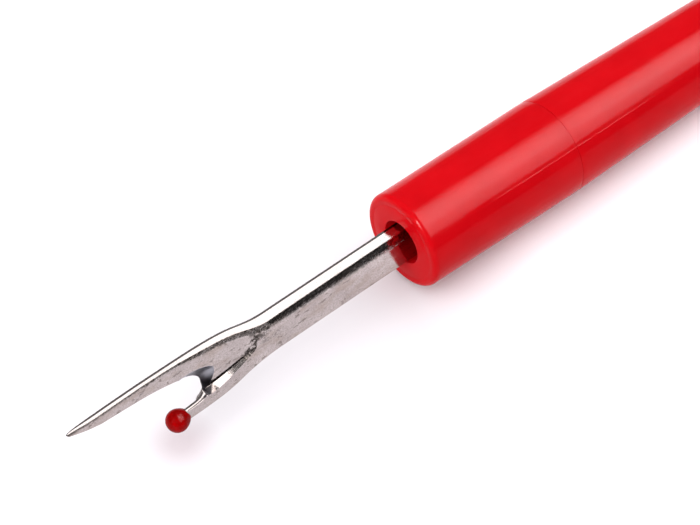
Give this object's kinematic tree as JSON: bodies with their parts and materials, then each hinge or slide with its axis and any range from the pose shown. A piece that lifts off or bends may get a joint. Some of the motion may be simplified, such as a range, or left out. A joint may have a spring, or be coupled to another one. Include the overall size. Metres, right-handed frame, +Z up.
{
  "type": "seam ripper",
  "caption": "Seam ripper: a forked steel blade with a bead on its short tine, fixed in a round tapering plastic handle.",
  "frame": {"origin": "middle of the footprint, on the surface that the tool lies on", "axes": "+X from the blade's tip to the handle's tail, +Z up from the surface, -Y out of the blade's hollowed face"},
  "size_m": [0.1352, 0.012, 0.0124],
  "materials": {
    "nickel_steel": "bright nickel plate, lightly scratched and pitted",
    "handle_plastic": "gloss red",
    "bead_plastic": "gloss, slightly translucent deep red",
    "sleeve_plastic": "satin dark red"
  },
  "bodies": {
    "root": {"blade": "nickel_steel", "ball_tip": "bead_plastic", "handle_nose": "handle_plastic", "handle_barrel": "handle_plastic", "tang_sleeve": "sleeve_plastic"}
  },
  "joints": []
}
